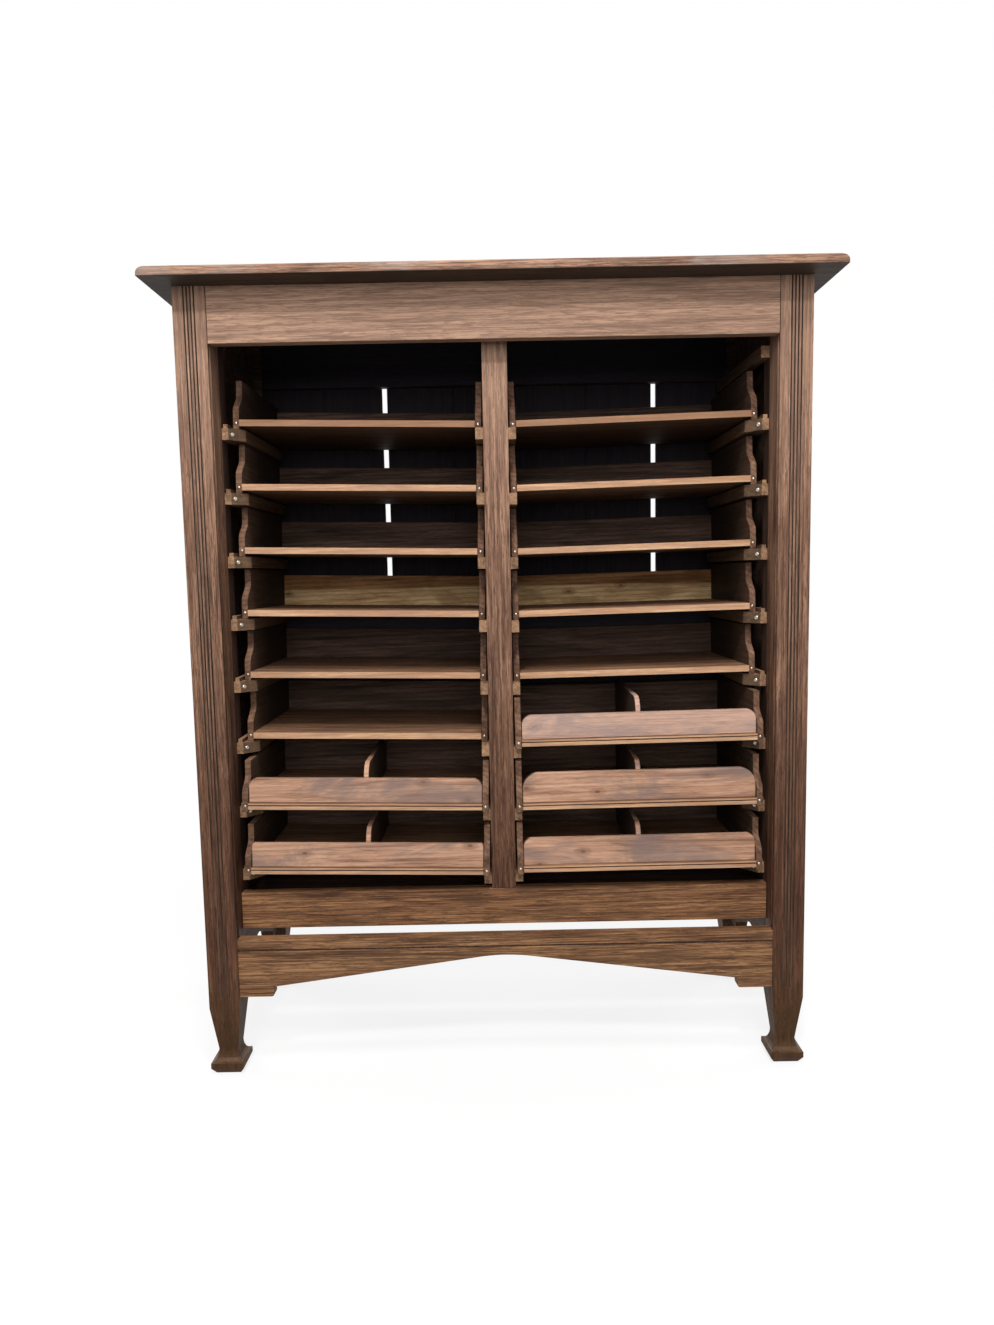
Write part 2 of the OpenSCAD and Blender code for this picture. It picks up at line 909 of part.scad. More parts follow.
module tray_front(bay, k) {
    i = k - plain_count(bay);
    w = inner_floor_w - 2 * board_fit;
    board_y = front_inset - floor_nose;
    divider_y = board_y + front_t + board_fit;
    divider_l = tray_d - tray_back_t - board_fit - divider_y;
    base_z = floor_top + board_fit;
    color(pine)
        at_tray(bay, k) {
            translate([side_t + board_fit, board_y, base_z])
                extrude_depth(front_t)
                    round_top_outline(w, front_heights[bay][i], front_radii[bay][i], front_radii[bay][i]);
            translate([(tray_w - divider_t) / 2, divider_y, base_z])
                extrude_across(divider_t)
                    divider_outline(divider_l);
        }
}

top_board();
front_left_post();
front_right_post();
rear_left_post();
rear_right_post();
top_rail();
lower_rail();
front_apron();
centre_stile();
rear_centre_stile();
left_side_rails();
right_side_rails();
left_side_panel();
right_side_panel();
back_rails();
upper_back_boards();
lower_back_boards();
bottom_board();
bottom_bearers();
carrier_battens();
left_bay_runners();
right_bay_runners();
runner_screws();
for (bay = [0:1])
    for (k = [0:rows - 1]) {
        tray_floor(bay, k);
        tray_walls(bay, k);
        if (has_front(bay, k))
            tray_front(bay, k);
    }
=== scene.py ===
"""Looks for a tray cabinet: an aged oak carcass with two bays of sliding pine trays.

Every board is a copy of its solid with eased edges, so that its arrises catch the light.
"""

import json
import math

import bmesh
import bpy
from bpy.props import FloatProperty, PointerProperty, StringProperty
from mathutils import Matrix, Vector


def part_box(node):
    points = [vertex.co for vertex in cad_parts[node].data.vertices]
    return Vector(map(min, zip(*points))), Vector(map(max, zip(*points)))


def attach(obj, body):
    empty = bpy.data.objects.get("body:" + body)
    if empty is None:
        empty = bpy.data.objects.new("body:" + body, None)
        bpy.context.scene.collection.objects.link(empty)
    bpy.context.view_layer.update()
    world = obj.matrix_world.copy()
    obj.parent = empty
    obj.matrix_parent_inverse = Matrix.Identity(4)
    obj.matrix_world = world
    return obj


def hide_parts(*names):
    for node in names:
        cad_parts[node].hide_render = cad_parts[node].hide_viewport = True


bl_info = {
    "name": "Tray cabinet",
    "version": (1, 0, 0),
    "blender": (4, 5, 0),
    "location": "View3D > Sidebar > Tray cabinet",
    "description": "Builds the finish of an oak tray cabinet around its solids",
    "category": "Object",
}

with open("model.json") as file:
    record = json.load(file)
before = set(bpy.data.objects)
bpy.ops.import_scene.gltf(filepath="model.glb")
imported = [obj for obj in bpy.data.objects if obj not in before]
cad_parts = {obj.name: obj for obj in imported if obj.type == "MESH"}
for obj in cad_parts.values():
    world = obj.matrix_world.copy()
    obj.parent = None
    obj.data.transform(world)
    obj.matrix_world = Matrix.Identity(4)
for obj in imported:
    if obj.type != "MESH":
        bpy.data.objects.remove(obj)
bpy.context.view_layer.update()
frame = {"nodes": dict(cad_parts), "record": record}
NODES = frame["nodes"]
BODIES = frame["record"]["behaviour"]["bodies"]
BODY_OF = {name: body for body, members in BODIES.items() for name in members}
MM = 0.001

# The trays of a bay are counted from the top. TRAYS holds each one's name and whether it has a
# front board, and two trays have a back of newer, paler pine.
BAYS = ("left", "right")
FRONTED = {"left": (7, 8), "right": (6, 7, 8)}
TRAYS = [(f"tray_{bay}_{row}", row in FRONTED[bay]) for bay in BAYS for row in range(1, 9)]
PALE_BACKS = ("tray_left_4", "tray_right_4")

# A piece's list of materials holds its main wood, then the wood of its eased edges, of its
# grooves, inner faces or back, and of its rubbed parts. The inner faces' wood is dark with
# painted shade, and the rubbed parts' pale wood is partly a painted highlight.
EDGE_WOOD, INSET_WOOD, RUBBED_HIGHLIT_WOOD = 1, 2, 3

# How far a foot's pad stands out past its post, and a height just above the pad's slanted top
PAD_STEP = 2 * MM
PAD_TOP_Z = 30 * MM
# A face of that slanted top points up by at least this much
PAD_SLANT = 0.3
# Width over a front post's four grooves, how far their arrises reach past it, and where they end
REEDING_W = 22 * MM
ARRIS_REACH = 1 * MM
REED_END_Z = 149 * MM
# From the apron's upper edge down to the middle of its bead line, and half the line's width
BEAD_DROP = 21 * MM
BEAD_HALF_W = 1.6 * MM
# Heights of the groove in a fronted tray's floor, over the floor's underside
LIP_GROOVE = (6.6 * MM, 9 * MM)
# Half the width of the dark line where a rail meets a post
JOINT_HALF_W = 1.5 * MM
# Thickness of a tray's side board, and what its back keeps clear of the side boards
SIDE_BOARD_T = 12 * MM
BACK_CLEAR = 3 * MM
# Height of a pin over the lower corner of its side board, and its thickness as a share of its width
PIN_RISE = 11 * MM
PIN_FLATNESS = 0.35
# The side panels' inner faces stand this far from the middle, and the rear posts' inner wood
# ends this much further out, in the groove that holds the panel
PANEL_INNER_X = -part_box("left_side_panel")[1].x
IN_PANEL_GROOVE = 4 * MM
# Below this height the frame's inner faces keep the wood of its outer ones, without painted shade
FRAME_LOW_Z = 270 * MM

# Faces are told apart by their depth behind the front of their board. Deeper than SKIN they are no
# part of the front, deeper than an arris they are a groove's wall, and no groove is deeper than
# GROOVE_DEPTH.
SKIN = 0.02 * MM
REEDING_ARRIS = 0.4 * MM
BEAD_ARRIS = 0.2 * MM
LIP_ARRIS = 0.1 * MM
GROOVE_DEPTH = 2 * MM
# A face looks one way if its normal points that way by at least this much
FACING = 0.5

# Points nearer than this are one point, and faces that turn less than this are one face
MERGE_DIST = 0.01 * MM
FLAT_ANGLE = math.radians(0.3)
# Edges that turn more than this are arrises and are eased, and what still turns more than
# SHARP_ANGLE is shaded as a crisp edge
CORNER_ANGLE = math.radians(25)
SHARP_ANGLE = math.radians(28)
# A tray's corner points lie within these distances of its ends and of its front
NEAR_END = 1 * MM
NEAR_FRONT = 0.1 * MM
# Shares of the full easing, for boards with finer details or thinner edges
FINE, HALF, MOST = 0.3, 0.5, 0.6
SCREW_EDGE = 0.25 * MM

# A Mix node has several sockets of one name, so those for colours go by their numbers
MIX_SHARE, MIX_UNDER, MIX_OVER = 0, 6, 7
MIX_COLOUR = 2
# A ring texture's period at scale 1
RING_PERIOD = math.pi / 10

# A pattern moves by its own amount in each direction, so that no two boards match
SHIFT_PARTS = (1, 1.7, 2.3)
# The patterns of the wood: the size of a cell along and across the grain in mm, a move that
# keeps one pattern off another, and the look of the noise. Real strands, fibres and pores are
# 1 mm wide or less and are drawn two to three times as wide so that they show.
PATTERNS = (
    # Broad light and dark bands
    dict(cell_mm=(260, 22), move=0.0, detail=5.0, roughness=0.65, distortion=0.8),
    # Strands
    dict(cell_mm=(240, 3.0), move=4.4, detail=4.0, roughness=0.7),
    # Fibres
    dict(cell_mm=(110, 1.5), move=2.9, detail=2.0, roughness=0.6),
    # Pores
    dict(cell_mm=(34, 2.1), move=5.7, detail=3.0, roughness=0.7),
)
# Where the three colours of a wood stand on its scale of tones, and how much strands and fibres
# add to the tone
DARK_AT, MID_AT, LIGHT_AT = 0.27, 0.47, 0.72
STREAK_SHARE = 0.8
# Where on a pattern's scale the dark of late wood, pores and stains begins, and where it is full
LATE_WOOD = (0.45, 0.95)
PORES = (0.53, 0.6)
STAINS = (0.46, 0.66)
# Growth rings lean this much off the grain. Their centre lies this far off, plus a step for each
# shift, by these parts in the three directions.
RING_LEAN_DEG = 1.6
RING_START_MM, RING_STEP_MM = 60, 23
RING_PARTS = (1, 0.8, 0.6)
# A stain is longer along the grain than across it
STAIN_LENGTH = 2.2
# Size in mm of the cells that may hold a knot, the move of their pattern, the band of chance past
# which they hold one, and a knot's rings: radius as a share of a cell, and darkness. A ring is
# darkest from KNOT_CORE of its radius inward.
KNOT_CELL_MM = (105, 55)
KNOT_MOVE = 1.3
KNOT_CHANCE = (0.6, 0.62)
KNOT_RINGS = ((0.2, 0.5), (0.07, 0.95))
KNOT_CORE = 0.45
# Height of the wood's relief, and what the tone adds to it and the pores take from it
RELIEF = 0.4 * MM
RELIEF_TONE, RELIEF_PORES = 0.4, 0.6
# Wax has an IOR of about 1.46. Dust and wear leave old wax little shine, so the level is low.
WAX_IOR = 1.46
WAX_LEVEL = 0.2

# Heights in metres between which a colour comes in: bleaching and painted light on the upper
# parts, browning with painted shade, and dirt, toward the floor, painted shade on the lower rail
# over the apron, the painted shadow of the top rail on the first trays, the joint in the pale
# backs, and the highest front board. The last band runs back into the bays instead, and is
# painted shade.
BLEACHED_AND_LIT = (1.0, 1.4)
BROWNED_AND_SHADED = (1.1, 0.3)
FOOT_DIRT = (0.25, 0.06)
LOWER_RAIL_SHADE = (0.262, 0.272)
FIRST_TRAYS_SHADOW = (1.15, 1.19)
BACK_JOINT = (0.908, 0.911)
HIGHEST_FRONT = (0.6, 0.628)
BAY_SHADE_DEPTH = (-0.13, 0.05)

# Share of the floor's white that the camera sees near the cabinet whatever shadow falls on it,
# the distances in metres between which the floor fades into the backdrop, and half its width
FLOOR_GLOW = 0.8
FLOOR_FADE = (0.7, 2.0)
FLOOR_HALF = 14.0
WHITE = (1, 1, 1, 1)
SENSOR_MM = 36.0
# Each lamp's name, setting, width, height, place and aim, in metres. Two high lamps throw the
# shadows of the top board and the top rail, and the large one lights the front softly. The soft
# lamps beside and behind don't reach the front of the cabinet.
LAMPS = (
    ("key_lamp", "key", 0.3, 0.3, (-0.4, -2.7, 3.4), (0.0, -0.2, 1.0)),
    ("high_lamp", "high", 0.6, 0.6, (0.2, -1.52, 3.72), (0.0, -0.2, 1.0)),
    ("front_lamp", "front", 3.0, 2.5, (0.0, -4.5, 2.2), (0.0, 0.0, 1.0)),
    ("left_lamp", "around", 2.0, 2.0, (-3.2, 1.2, 1.9), (0.0, 0.0, 0.8)),
    ("right_lamp", "around", 2.0, 2.0, (3.2, 1.2, 1.9), (0.0, 0.0, 0.8)),
    ("back_lamp", "around", 2.0, 2.0, (0.0, 3.6, 1.9), (0.0, 0.0, 0.8)),
)


class CABINET_PG_finish(bpy.types.PropertyGroup):
    """Colours of the woods, written as sRGB hex values"""

    oak_light: StringProperty(name="Oak, light", description="Early wood of the waxed oak",
                              default="#ad876c")
    oak_mid: StringProperty(name="Oak, middle", description="Body colour of the waxed oak",
                            default="#856350")
    oak_dark: StringProperty(name="Oak, dark", description="Pores and late wood of the oak",
                             default="#4a3327")
    # Used both as dirt and as painted shade on undersides and on faces that look sideways
    grime_and_shade: StringProperty(name="Grime", description="Dirt and old wax on undersides and sides",
                          default="#2c231b")
    pine_light: StringProperty(name="Pine, light", description="Early wood of the tray floors",
                               default="#c79d78")
    pine_mid: StringProperty(name="Pine, middle", description="Body colour of the tray floors",
                             default="#9c765a")
    pine_dark: StringProperty(name="Pine, dark", description="Late wood of the tray floors",
                              default="#5c4130")
    rubbed: StringProperty(name="Rubbed pine", description="Pale wood along the trays' worn edges",
                           default="#c3a184")


class CABINET_PG_wear(bpy.types.PropertyGroup):
    """Sizes of the eased edges and of the pins"""

    frame_edge: FloatProperty(name="Frame edge", description="Easing of the oak frame's arrises",
                              default=1.4 * MM, subtype="DISTANCE", unit="LENGTH")
    tray_edge: FloatProperty(name="Tray edge", description="Easing of the trays' arrises",
                             default=1.0 * MM, subtype="DISTANCE", unit="LENGTH")
    pin_radius: FloatProperty(name="Pin radius",
                              description="Radius of the pin heads in the tray sides",
                              default=2.2 * MM, subtype="DISTANCE", unit="LENGTH")


class CABINET_PG_stage(bpy.types.PropertyGroup):
    """Lamps and camera"""

    key: FloatProperty(name="Key light", description="Strength of the small high lamp in front",
                       default=62.0, subtype="POWER", unit="POWER")
    high: FloatProperty(name="High light",
                        description="Strength of the larger lamp almost overhead",
                        default=58.0, subtype="POWER", unit="POWER")
    front: FloatProperty(name="Front light",
                         description="Strength of the large soft lamp before the cabinet",
                         default=104.0, subtype="POWER", unit="POWER")
    around: FloatProperty(name="Side and back light",
                          description="Strength of each soft lamp beside and behind",
                          default=45.0, subtype="POWER", unit="POWER")
    fill: FloatProperty(name="Fill", description="Strength of the plain world light", default=0.24)
    focal: FloatProperty(name="Focal length",
                         description="Focal length on a sensor 36 mm wide",
                         default=31.87, unit="CAMERA")


def linear(code):
    """An sRGB hex colour as linear RGBA."""
    parts = [int(code[i:i + 2], 16) / 255 for i in (1, 3, 5)]
    return tuple(c / 12.92 if c <= 0.04045 else ((c + 0.055) / 1.055) ** 2.4
                 for c in parts) + (1.0,)


def node(tree, kind, inputs=None, stops=(), **settings):
    """Adds a shader node with its settings, inputs and links, and gives its outputs.

    The kind is its type without ShaderNode. Inputs go by a socket's name or number, and each is a
    plain value or the output to link to it. Stops are a colour ramp's (position, hex colour) pairs.
    """
    made = tree.nodes.new("ShaderNode" + kind)
    for key, value in settings.items():
        setattr(made, key, value)
    for socket, value in (inputs or {}).items():
        if isinstance(value, bpy.types.NodeSocket):
            tree.links.new(value, made.inputs[socket])
        else:
            made.inputs[socket].default_value = value
    if stops:
        band = made.color_ramp.elements
        while len(band) < len(stops):
            band.new(0.5)
        for element, (place, code) in zip(band, stops):
            element.position = place
            element.color = linear(code)
    return made.outputs


def between(source, low, high):
    """Inputs of a Map Range node that rises as a value passes from low to high."""
    return {"Value": source, "From Min": low, "From Max": high}


def cells(place, axis, cell_mm, shift):
    """Inputs of a Mapping node in which a pattern's cell has its length along an axis."""
    along_mm, across_mm = cell_mm
    scale = [1 / (across_mm * MM)] * 3
    scale["XYZ".index(axis)] = 1 / (along_mm * MM)
    return {"Vector": place, "Scale": scale, "Location": [shift * part for part in SHIFT_PARTS]}


def cover(tree, under, mask, code, share, blend="MIX"):
    """Lays a colour over another where a mask is 1, up to the given share."""
    factor = node(tree, "Math", {0: mask, 1: share}, operation="MULTIPLY")[0]
    return node(tree, "Mix", {MIX_SHARE: factor, MIX_UNDER: under, MIX_OVER: linear(code)},
                data_type="RGBA", blend_type=blend)[MIX_COLOUR]


def layer(tree, under, source, band, code, share, blend="MIX"):
    """Lays a colour over another as a value passes through a band."""
    mask = node(tree, "MapRange", between(source, *band), interpolation_type="SMOOTHSTEP")["Result"]
    return cover(tree, under, mask, code, share, blend)


def grain(tree, place, axis, shift, cell_mm, move=0.0, detail=3.0, roughness=0.55, distortion=0.0):
    """A cloudy pattern stretched along the grain, from 0 to 1."""
    vector = node(tree, "Mapping", cells(place, axis, cell_mm, shift + move))["Vector"]
    return node(tree, "TexNoise", {"Vector": vector, "Scale": 1.0, "Detail": detail,
                                   "Roughness": roughness, "Distortion": distortion})["Fac"]


def growth_lines(tree, place, axis, spacing_mm, start_mm):
    """Rings about an axis that leans off the grain.

    A board's faces cut them as lines and pointed arches.
    """
    turn = [0.0, 0.0, 0.0]
    turn["XYZ".index("Y" if axis == "X" else "X")] = math.radians(RING_LEAN_DEG)
    start = [start_mm * part * MM for part in RING_PARTS]
    moved = node(tree, "Mapping", {"Vector": place, "Rotation": turn, "Location": start})["Vector"]
    return node(tree, "TexWave", {"Vector": moved, "Scale": RING_PERIOD / (spacing_mm * MM),
                                  "Distortion": 3.0, "Detail": 3.0, "Detail Scale": 1.2,
                                  "Detail Roughness": 0.6},
                wave_type="RINGS", rings_direction=axis, wave_profile="SAW")["Fac"]


def knotted(tree, colour, place, axis, shift, dark, strength):
    """Adds knots to a wood's colour.

    They go straight through a board, so their cells have only the two directions of its broad face.
    """
    vector = node(tree, "Mapping", cells(place, axis, KNOT_CELL_MM, shift + KNOT_MOVE))["Vector"]
    face = node(tree, "Mapping", {"Vector": vector, "Rotation": (math.pi / 2, 0, 0)})["Vector"]
    spots = node(tree, "TexVoronoi", {"Vector": face, "Scale": 1.0, "Randomness": 1.0},
                 voronoi_dimensions="2D")
    chance = node(tree, "SeparateColor", {"Color": spots["Color"]})["Red"]
    chosen = node(tree, "MapRange", between(chance, *KNOT_CHANCE),
                  interpolation_type="SMOOTHSTEP")["Result"]
    for size, share in KNOT_RINGS:
        ring = node(tree, "MapRange", between(spots["Distance"], size, size * KNOT_CORE),
                    interpolation_type="SMOOTHSTEP")["Result"]
        knot = node(tree, "Math", {0: ring, 1: chosen}, operation="MULTIPLY")[0]
        colour = cover(tree, colour, knot, dark, share * strength)
    return colour


def new_material(name):
    """An empty material, its node tree and its shader."""
    made = bpy.data.materials.new(name)
    made.use_nodes = True
    return made, made.node_tree, made.node_tree.nodes["Principled BSDF"]


def wood(name, axis, light, mid, dark, shift=0.0, lines_mm=9.0, line_depth=0.45, pore_depth=0.7,
         rough=(0.5, 0.72), knots=0.0, stain=None, fade=(), facing=(), contrast=1.0):
    """An aged, waxed wood with its grain along one axis.

    Strands and fibres run over broad bands of light and dark. Growth lines and pores lie over
    them, then knots and stains, then the colours that come in along an axis and those on the
    faces that look one way.

    shift moves all its patterns, and lines_mm spaces its growth lines. line_depth, pore_depth,
    knots and contrast are the strength of the growth lines, pores, knots and streaks. rough gives
    the roughness of its light and of its dark bands. stain is a colour, its share and the width
    of a blotch in mm. Each row of fade is an axis, a band in metres, a colour, its share and how
    it mixes. Each row of facing is an axis, a sign, a colour, its share and how it mixes.
    """
    made, tree, shader = new_material(name)
    place = node(tree, "TexCoord")["Object"]
    figure, strand, fibre, pores = [grain(tree, place, axis, shift, **look) for look in PATTERNS]
    lines = growth_lines(tree, place, axis, lines_mm, RING_START_MM + RING_STEP_MM * shift)

    # The streaks swing about the figure's tone, so their mean is taken off
    both = node(tree, "Math", {0: strand, 1: fibre}, operation="ADD")[0]
    streaks = node(tree, "Math", {0: both, 1: 1.0}, operation="SUBTRACT")[0]
    streaks = node(tree, "Math", {0: streaks, 1: STREAK_SHARE * contrast}, operation="MULTIPLY")[0]
    tone = node(tree, "Math", {0: figure, 1: streaks}, operation="ADD")[0]
    colour = node(tree, "ValToRGB", {"Fac": tone},
                  stops=[(DARK_AT, dark), (MID_AT, mid), (LIGHT_AT, light)])["Color"]
    colour = layer(tree, colour, lines, LATE_WOOD, dark, line_depth)
    open_pores = node(tree, "MapRange", between(pores, *PORES),
                      interpolation_type="SMOOTHSTEP")["Result"]
    colour = cover(tree, colour, open_pores, dark, pore_depth)
    if knots:
        colour = knotted(tree, colour, place, axis, shift, dark, knots)
    if stain:
        code, share, width_mm = stain
        blotch = grain(tree, place, axis, shift, (width_mm * STAIN_LENGTH, width_mm), move=8.9,
                       detail=4.0, roughness=0.65, distortion=0.6)
        colour = layer(tree, colour, blotch, STAINS, code, share)

    where = node(tree, "SeparateXYZ", {"Vector": place})
    normal = node(tree, "SeparateXYZ", {"Vector": node(tree, "NewGeometry")["True Normal"]})
    for way, band, code, share, blend in fade:
        colour = layer(tree, colour, where[way], band, code, share, blend)
    for way, sign, code, share, blend in facing:
        colour = layer(tree, colour, normal[way], (0.0, sign * FACING), code, share, blend)
    tree.links.new(colour, shader.inputs["Base Color"])

    wax = node(tree, "MapRange", {"Value": figure, "To Min": rough[1], "To Max": rough[0]})
    tree.links.new(wax["Result"], shader.inputs["Roughness"])
    raised = node(tree, "Math", {0: tone, 1: RELIEF_TONE}, operation="MULTIPLY")[0]
    sunk = node(tree, "Math", {0: open_pores, 1: RELIEF_PORES}, operation="MULTIPLY")[0]
    surface = node(tree, "Math", {0: raised, 1: sunk}, operation="SUBTRACT")[0]
    relief = node(tree, "Bump", {"Height": surface, "Strength": 0.7, "Distance": RELIEF})
    tree.links.new(relief["Normal"], shader.inputs["Normal"])
    shader.inputs["IOR"].default_value = WAX_IOR
    shader.inputs["Specular IOR Level"].default_value = WAX_LEVEL
    return made


def make_woods(finish):
    """All the woods of the cabinet, by their use."""
    oak = dict(light=finish.oak_light, mid=finish.oak_mid, dark=finish.oak_dark)
    pine = dict(light=finish.pine_light, mid=finish.pine_mid, dark=finish.pine_dark)
    old = dict(light="#72584a", mid="#513d33", dark="#2a2019", contrast=0.5, pore_depth=0.3)
    # Low parts are browner and dirtier, and the upper parts have faded a little. These bands are
    # also painted light: lighter above and darker toward the floor, as light falls from overhead.
    weathering_and_painted_light = [("Z", BLEACHED_AND_LIT, "#b5937e", 0.3, "MIX"),
                  ("Z", BROWNED_AND_SHADED, "#826042", 0.78, "MULTIPLY"),
                  ("Z", FOOT_DIRT, "#3f2b12", 0.6, "MIX")]
    # Painted shade: undersides are darker
    painted_shade_below = ("Z", -1, finish.grime_and_shade, 0.55, "MIX")
    # Faces that look sideways are darker with dirt and painted shade
    shade_and_dirt_sides = [("X", sign, finish.grime_and_shade, 0.62, "MIX") for sign in (-1, 1)]
    # Painted shade: faces that look sideways are nearly black
    painted_shade_ends = [("X", sign, finish.grime_and_shade, 0.85, "MIX") for sign in (-1, 1)]
    # Faces that look forward at the back are nearly black: a dark stain and painted shade
    stain_and_shade_inside = ("Y", -1, "#22202a", 0.95, "MIX")
    # Painted shade: the wood darkens back into the bays
    painted_bay_shade = ("Y", BAY_SHADE_DEPTH, "#15100d", 0.85, "MIX")
    return {
        # Plain-sawn oak of the top rail, waxed: open pores full of old wax give a soft satin
        # sheen broken by dark streaks, over strong and wide growth lines
        "oak_across": wood("Aged waxed oak, grain across", "X", light="#bd957a", mid="#9b7863",
                           dark="#5d4435", fade=weathering_and_painted_light, lines_mm=13, contrast=1.2),
        # The same oak upright in posts, stiles and side panels: long even streaks, worn blotches
        "oak_upright": wood("Aged waxed oak, grain upright", "Z", **oak, shift=2.0,
                            fade=weathering_and_painted_light, stain=("#6a4a38", 0.4, 45)),
        # The same oak running back in the side rails: fine streaks without stains
        "oak_deep": wood("Aged waxed oak, grain front to back", "Y", **oak, shift=4.0,
                         fade=weathering_and_painted_light),
        # The top board's oak, worn by use: wide greyish stains, and painted shade underneath
        "oak_top": wood("Aged waxed oak, top board", "X", **oak, shift=7.0,
                        stain=("#8f8178", 0.5, 90), facing=[("Z", -1, finish.grime_and_shade, 0.9, "MIX")]),
        # Yellowish oak of the apron and the lower rail, less faded than the posts
        "oak_apron": wood("Aged waxed oak, apron", "X", light="#a67c56", mid="#7f593d",
                          dark="#452e1f", shift=9.0, contrast=1.2, stain=("#5b4330", 0.5, 60),
                          # The lower rail is a little darker than the apron: painted shade from the
                          # trays above it
                          fade=[("Z", LOWER_RAIL_SHADE, "#f8f3f0", 1.0, "MULTIPLY")]),
        # Arrises and foot pads rubbed pale and smooth, which catch the light. Their pale colour is
        # partly a painted highlight.
        "oak_rubbed_highlit": wood("Rubbed waxed oak", "Z", light="#c8aa92", mid="#a98c76",
                           dark="#6a4f3e", shift=31.0, pore_depth=0.3, line_depth=0.2,
                           contrast=0.6, rough=(0.28, 0.45), fade=weathering_and_painted_light),
        # Black wax that has gathered in grooves and joints: dull dark lines
        "groove": wood("Waxed dirt in the reeding", "Z", light="#5a4337", mid="#3b2a21",
                       dark="#20160f", shift=10.0, rough=(0.6, 0.8)),
        # Planed pine, dark from handling: matt and softly streaked, its front edge rubbed. Its top
        # and its underside are darker still with painted shade.
        "tray_floor": wood("Planed pine, tray floor", "X", **pine, line_depth=0.3, contrast=0.6,
                           shift=11.0, pore_depth=0.3, stain=("#7a6152", 0.6, 55),
                           rough=(0.55, 0.75),
                           # Painted shadow of the top rail on the first trays
                           fade=[("Z", FIRST_TRAYS_SHADOW, "#a79f98", 1.0, "MULTIPLY")],
                           facing=[painted_shade_below, ("Z", 1, "#7d6455", 0.5, "MULTIPLY"),
                                   ("Y", -1, "#916a50", 0.8, "SCREEN")]),
        # Planed pine on edge: brown ends in front, flanks darker with dirt and painted shade, and
        # all of it darkening back into the bay with painted shade
        "tray_side": wood("Planed pine, tray side", "Y", light="#a3836c", mid="#7b5c4a",
                          dark="#493529", shift=13.0, pore_depth=0.2, contrast=0.4,
                          rough=(0.55, 0.75), fade=[painted_bay_shade],
                          facing=[*shade_and_dirt_sides, ("Y", -1, "#dcd3cb", 1.0, "MULTIPLY")]),
        # Old planed pine without wax: dull and deep brown, so that it sinks into the shadow
        "tray_back": wood("Planed pine, old tray back", "X", **old, shift=15.0, rough=(0.6, 0.8)),
        # Newer planed pine: pale yellow with round brown knots, which stands out in the dark bay
        "tray_pale": wood("Planed pine, pale tray back", "X", light="#f0d2a2", mid="#cfa877",
                          dark="#7a5c3c", shift=17.0, pore_depth=0.12, contrast=0.25, knots=1.0,
                          stain=("#8d6d4a", 0.6, 70),
                          # Glued up from two boards, the upper one browner
                          fade=[("Z", BACK_JOINT, "#b08f78", 0.85, "MULTIPLY")],
                          rough=(0.6, 0.8)),
        # Pine rubbed bare by long use: a pale line along the edges of floors, fronts and runners
        "rubbed": wood("Rubbed pine edge", "X", light=finish.rubbed, mid="#a5826a",
                       dark="#6f5443", shift=18.0, pore_depth=0.3, line_depth=0.2, contrast=0.6,
                       rough=(0.5, 0.7)),
        # The side boards' arrises, grey and a little shiny from handling
        "handled": wood("Handled pine edge", "Z", light="#b3a297", mid="#93827a",
                        dark="#5e4f46", shift=12.0, pore_depth=0.2, line_depth=0.2, contrast=0.5,
                        rough=(0.45, 0.65)),
        # Waxed pine, the smoothest of the trays' woods: knots and grey worn patches
        "front_board": wood("Waxed knotty pine, front board", "X", light="#d2a88c",
                            mid="#b48a70", dark="#6e4d3c", shift=19.0, pore_depth=0.2,
                            line_depth=0.25, contrast=0.35, knots=0.9,
                            stain=("#7c6a64", 0.75, 75), rough=(0.38, 0.6),
                            # The highest board is the palest. Painted shade darkens the boards back
                            # into the bay and makes their sideways faces nearly black
                            fade=[("Z", HIGHEST_FRONT, "#d8beb6", 0.24, "MIX"), painted_bay_shade],
                            facing=painted_shade_ends),
        # Planed pine, dry and matt: paler on top, where the trays rub, than on its sides, which are
        # darker with dirt and painted shade, and its underside, darker with painted shade
        "runner": wood("Planed pine, runner", "Y", light="#b08b6a", mid="#8b6a50",
                       dark="#54402f", shift=21.0, pore_depth=0.3, line_depth=0.25, contrast=0.6,
                       rough=(0.6, 0.8), facing=[*shade_and_dirt_sides, painted_shade_below]),
        # Rough sawn back boards: no sheen at all, raw outside, and blackened inside with a dark
        # stain and painted shade
        "back_board": wood("Sawn pine, back board", "Z", light="#a68b6c", mid="#86694e",
                           dark="#54402f", shift=23.0, knots=0.8, rough=(0.7, 0.85),
                           facing=[stain_and_shade_inside]),
        # Oak rails, brown and dry outside, their inner face blackened with a dark stain and painted
        # shade
        "back_rail": wood("Aged oak, back rail", "X", light="#8a6a52", mid="#684c3a",
                          dark="#3c2a20", shift=27.0, facing=[stain_and_shade_inside]),
        # Sawn pine left rough inside the cabinet: dull and without detail, and dark with painted
        # shade.
        # It is also the painted shade on the oak's faces that look into the bays
        "inner": wood("Old sawn pine, inner board", "X", **old, shift=25.0, rough=(0.7, 0.85)),
        # Stained oak strips: dull, and nearly black with a dark stain and painted shade, so that
        # the runners stand out before them
        "batten": wood("Old stained oak, batten", "Z", light="#5c4235", mid="#402d24",
                       dark="#241913", shift=29.0, rough=(0.6, 0.8)),
    }


